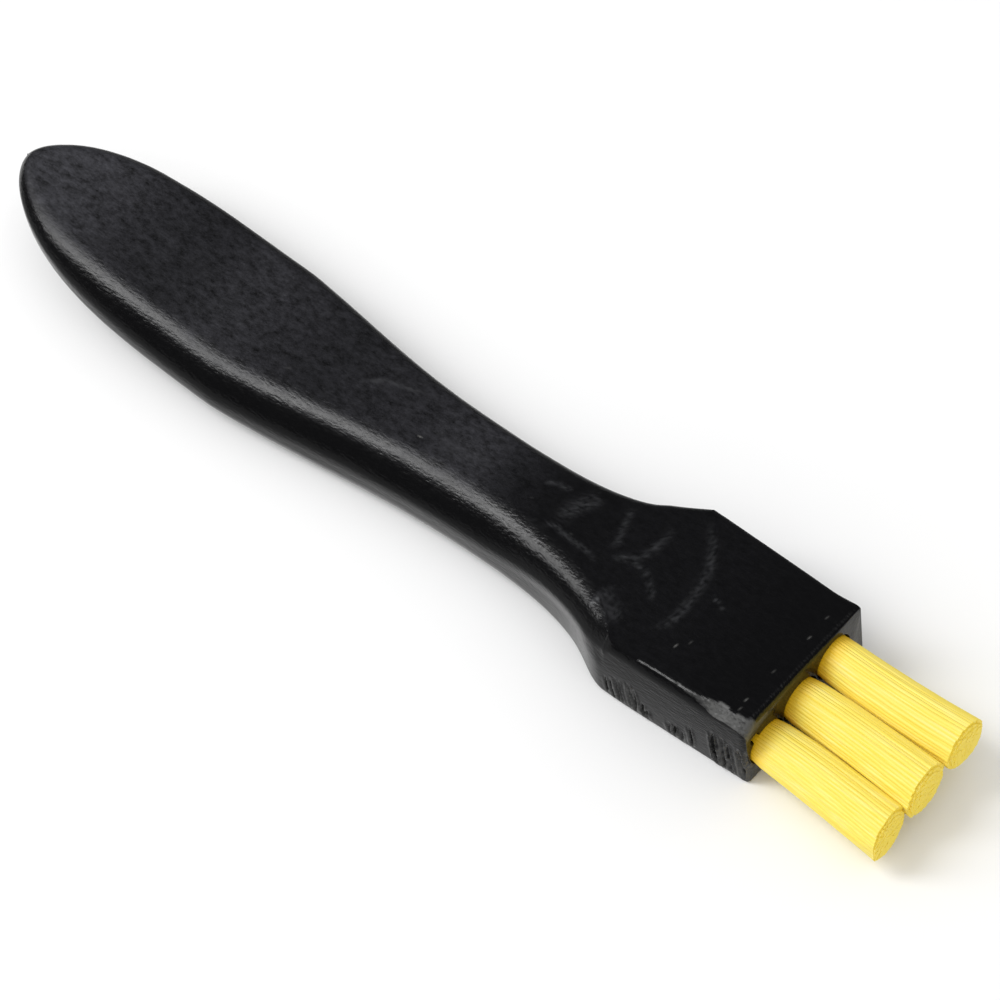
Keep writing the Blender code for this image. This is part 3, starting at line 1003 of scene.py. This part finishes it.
# %% [markdown]
# The plastic is black all through. Carbon fill leaves a fine wrinkled grain that runs along the
# handle and roughens the long highlight a little, and the hazy top is mottled in patches of many
# sizes. Flow marks, scraped places and dust are paler. All of it comes from noise on the object's
# own coordinates and from the attributes on the mesh. The bump is kept low: a stronger one
# scatters the reflections so far that the black band below the highlight fills up.

# %% Black conductive plastic
BLACK = (0.0014, 0.0014, 0.0018)
HAZY = (0.050, 0.050, 0.059)
FLOW_PALE = (0.055, 0.056, 0.060)
WORN_PALE = (0.08, 0.08, 0.078)
DUST_PALE = (0.11, 0.108, 0.104)
HAZE_SHARE = 0.5
FLOW_SHARE = 0.34
SMOOTHEST = 0.06
GRAIN_DEPTH = 0.045 * mm
GRAIN = ((0.35, 1.0, 1.0), 3200.0, 2.0, 0.5)
MOTTLE = ((0.6, 1.0, 1.0), 1100.0, 5.0, 0.8)
PATCHES = ((0.36, 0.64), (0.25, 1.75))


def black_plastic():
    material, tree, shader = new_material("black_conductive_plastic", Roughness=0.25, IOR=1.41)

    def times(a, b, clamp=False):
        return calculate(tree, "MULTIPLY", a, b, clamp=clamp)

    grain, mottle = stretched_noise(tree, *GRAIN), stretched_noise(tree, *MOTTLE)
    wear_value, flow_value = on_mesh(tree, "wear"), on_mesh(tree, "flow")
    dust_value, haze_value = on_mesh(tree, "dust"), on_mesh(tree, "haze")

    patches = map_range(tree, mottle, *PATCHES, clamp=False)
    hazy = times(times(haze_value, HAZE_SHARE), patches, clamp=True)
    tone = mix_colours(tree, hazy, BLACK, HAZY)
    tone = mix_colours(tree, times(flow_value, FLOW_SHARE, clamp=True), tone, FLOW_PALE)
    tone = mix_colours(tree, times(wear_value, patches, clamp=True), tone, WORN_PALE)
    tone = mix_colours(tree, dust_value, tone, DUST_PALE)
    tree.links.new(tone, shader.inputs["Base Color"])

    rough = sum_of(tree, (grain, 0.18), (mottle, 0.10), (haze_value, 0.25), (wear_value, 0.25))
    tree.links.new(calculate(tree, "ADD", rough, SMOOTHEST, clamp=True), shader.inputs["Roughness"])

    height = sum_of(tree, (grain, 1.0), (times(mottle, haze_value), 0.8), (dust_value, 1.0))
    bump = add_node(tree, "ShaderNodeBump", {"Height": height, "Strength": 1.0, "Distance": GRAIN_DEPTH})
    tree.links.new(bump.outputs["Normal"], shader.inputs["Normal"])
    return material


# %% [markdown]
# The filaments are drawn nylon: satin, evenly coloured and very bright, so light that bounces
# between them comes out a deeper yellow in the grooves. A faint noise along each filament keeps
# them from looking alike. Where they enter the holes, in the shade of the black head, that shade
# is painted into their colour as a deeper orange. They are also a little deeper where they are cut.

# %% Yellow nylon
NYLON_GRAIN = ((0.03, 1.0, 1.0), 2600.0, 2.0, 0.5)
NYLON_TONES = [(0.3, (0.95, 0.74, 0.09)), (0.5, (0.96, 0.78, 0.13)), (0.75, (0.97, 0.82, 0.24))]
# Painted shade: the orange the roots are coloured where they sit in the shade of the black head.
NYLON_ROOT_PAINTED_SHADE = (0.93, 0.55, 0.01)
NYLON_CUT = (0.95, 0.73, 0.06)
ROOT_PAINTED_SHADE_REACH = (end_face - 0.1 * mm, end_face + 2.5 * mm)


def yellow_nylon():
    material, tree, shader = new_material("yellow_nylon", Roughness=0.45, IOR=1.45)
    tone = ramp(tree, stretched_noise(tree, *NYLON_GRAIN), NYLON_TONES)
    place = add_node(tree, "ShaderNodeTexCoord").outputs["Object"]
    along = add_node(tree, "ShaderNodeSeparateXYZ", {"Vector": place}).outputs["X"]
    # Painted shade: orange over the first few millimetres out of the end face.
    tone = mix_colours(tree, map_range(tree, along, ROOT_PAINTED_SHADE_REACH, (1.0, 0.0)), tone, NYLON_ROOT_PAINTED_SHADE)
    tone = mix_colours(tree, on_mesh(tree, "cut"), tone, NYLON_CUT)
    tree.links.new(tone, shader.inputs["Base Color"])
    return material


# %% [markdown]
# The anchors are short flat wires inside the holes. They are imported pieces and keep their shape,
# with drawn metal on them: a fine grain along the wire and a soft reflection.

# %% Anchor wire
WIRE_GRAIN = ((1.0, 1.0, 0.05), 9000.0, 3.0, 0.5)
WIRE_TONES = [(0.3, (0.50, 0.48, 0.43)), (0.7, (0.68, 0.66, 0.60))]
WIRE_ROUGHNESS = [(0.2, 0.25), (0.8, 0.45)]
WIRE_GRAIN_DEPTH = 0.01 * mm


def anchor_wire():
    material, tree, shader = new_material("anchor_wire", Metallic=1.0, Roughness=0.35)
    drawn = stretched_noise(tree, *WIRE_GRAIN)
    tree.links.new(ramp(tree, drawn, WIRE_TONES), shader.inputs["Base Color"])
    tree.links.new(ramp(tree, drawn, WIRE_ROUGHNESS), shader.inputs["Roughness"])
    inputs = {"Height": drawn, "Strength": 0.2, "Distance": WIRE_GRAIN_DEPTH}
    bump = add_node(tree, "ShaderNodeBump", inputs)
    tree.links.new(bump.outputs["Normal"], shader.inputs["Normal"])
    return material


# %% [markdown]
# Each new piece rides on the part's root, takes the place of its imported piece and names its
# material slot. The anchors only get their finish.

# %% Put the finishes on and tie the pieces to the frame
def dress(obj, material):
    obj.data.materials.clear()
    obj.data.materials.append(material)


plastic, nylon, wire = black_plastic(), yellow_nylon(), anchor_wire()
dress(handle, plastic)
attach(handle, "root")
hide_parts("handle")
for name, tuft in tufts.items():
    dress(tuft, nylon)
    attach(tuft, "root")
    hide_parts(f"tuft_{name}")
    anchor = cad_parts[f"anchor_{name}"]
    dress(anchor, wire)

# %% [markdown]
# The stage is a wide white table in a soft room with one bright part, above and behind the camera,
# so that shadows stay soft and fall behind the brush. The black plastic shows what stands round
# it, so much of the stage is there to be mirrored. Glossy rays find the table white only close to
# the brush, and the room dim outside its bright part. That keeps the plastic black, with a pale
# line along its foot.

# %% White table
FLOOR_SIZE = 6.0
FLOOR_DROP = 0.02 * mm
FLOOR_WHITE = 0.93
SHEET_MIDDLE = 4 * mm
SHEET_FADE = (13 * mm, 20 * mm)
SHEET_TONES = (0.95, 0.25)

clear_selection()
bpy.ops.mesh.primitive_plane_add(size=FLOOR_SIZE, location=(0, 0, -FLOOR_DROP))
floor = bpy.context.object
floor.name = "floor"
floor_material, floor_tree, floor_shader = new_material("white_table", Roughness=0.7)
floor_place = add_node(floor_tree, "ShaderNodeTexCoord").outputs["Object"]
across = add_node(floor_tree, "ShaderNodeSeparateXYZ", {"Vector": floor_place}).outputs["Y"]
across = calculate(floor_tree, "SUBTRACT", across, SHEET_MIDDLE)
across = calculate(floor_tree, "ABSOLUTE", across)
mirrored = map_range(floor_tree, across, SHEET_FADE, SHEET_TONES)
glossy_ray = add_node(floor_tree, "ShaderNodeLightPath").outputs["Is Glossy Ray"]
table_tone = mix_colours(floor_tree, glossy_ray, (FLOOR_WHITE, FLOOR_WHITE, FLOOR_WHITE), mirrored)
floor_tree.links.new(table_tone, floor_shader.inputs["Base Color"])
dress(floor, floor_material)
floor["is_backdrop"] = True

# %% [markdown]
# A long soft box high on the near side draws the highlight on the shoulder. A second one, lower and
# further out past the grip's end, carries it on round the flare, where the shoulder turns away.

# %% Soft boxes
def soft_box(name, place, aim, size, power):
    lamp = bpy.data.lights.new(name, "AREA")
    lamp.shape = "RECTANGLE"
    lamp.size, lamp.size_y = size
    lamp.energy = power
    obj = bpy.data.objects.new(name, lamp)
    obj.location = place
    obj.rotation_euler = (Vector(aim) - Vector(place)).to_track_quat("-Z", "Y").to_euler()
    bpy.context.scene.collection.objects.link(obj)


soft_box("key", (-0.443, -0.33, 0.83), (0, 0, 0), (0.30, 0.56), 4.1)
soft_box("key_end", (-0.69, -0.48, 0.53), (0, 0, 0), (0.30, 0.30), 1.3)

# %% [markdown]
# The room is the world's own light. How far a ray points towards the bright part is the dot
# product of two directions, and the strength runs from the room's level to the bright one over a
# narrow cone.

# %% Room
BRIGHT_SIDE = (0.443, -0.373, 0.815)
BRIGHT_CONE = (0.72, 0.84)
BRIGHT_LEVEL = 1.02
SOFT_ROOM_LEVEL = 0.64
ROOM_LEVEL = 0.1

world = bpy.data.worlds.new("studio")
bpy.context.scene.world = world
world.use_nodes = True
sky = world.node_tree
background = sky.nodes["Background"]
direction = add_node(sky, "ShaderNodeTexCoord").outputs["Generated"]
inputs = {0: direction, 1: BRIGHT_SIDE}
toward_bright = add_node(sky, "ShaderNodeVectorMath", inputs, operation="DOT_PRODUCT").outputs["Value"]
sky_glossy = add_node(sky, "ShaderNodeLightPath").outputs["Is Glossy Ray"]
room = map_range(sky, sky_glossy, (0.0, 1.0), (SOFT_ROOM_LEVEL, ROOM_LEVEL))
strength = map_range(sky, toward_bright, BRIGHT_CONE, (room, BRIGHT_LEVEL))
background.inputs["Color"].default_value = (1, 1, 1, 1)
sky.links.new(strength, background.inputs["Strength"])
bpy.context.scene.view_settings.view_transform = "Standard"

# %% Size of the dressed part
low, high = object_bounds()
print("dressed size", [round(v / mm, 2) for v in high - low], "mm")
